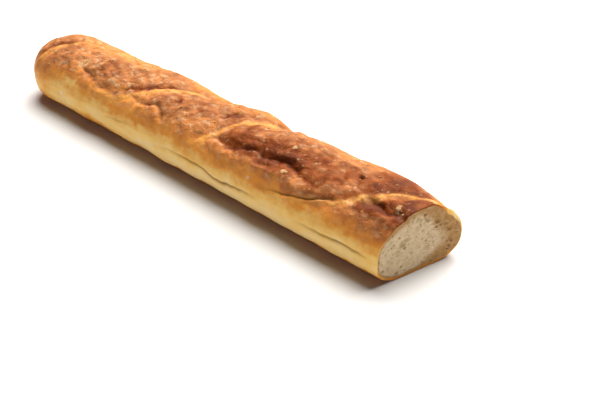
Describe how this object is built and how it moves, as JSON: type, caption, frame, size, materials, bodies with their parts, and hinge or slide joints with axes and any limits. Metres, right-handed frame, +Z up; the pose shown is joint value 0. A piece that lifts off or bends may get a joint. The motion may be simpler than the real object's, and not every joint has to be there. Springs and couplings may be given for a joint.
{
  "type": "baguette",
  "caption": "Crusty slashed bread stick with one rounded end and one cut end that shows the crumb, lying on a flat base.",
  "frame": {"origin": "on the floor, under the middle of the loaf's box", "axes": "+X along the loaf towards the cut end, +Y across it, +Z up"},
  "size_m": [0.431, 0.0766, 0.0528],
  "materials": {
    "crust": "baked crust, golden to dark brown, dry and slightly rough",
    "crumb": "open cream crumb, matte and porous"
  },
  "bodies": {
    "root": {"baguette": "crust"}
  },
  "joints": []
}
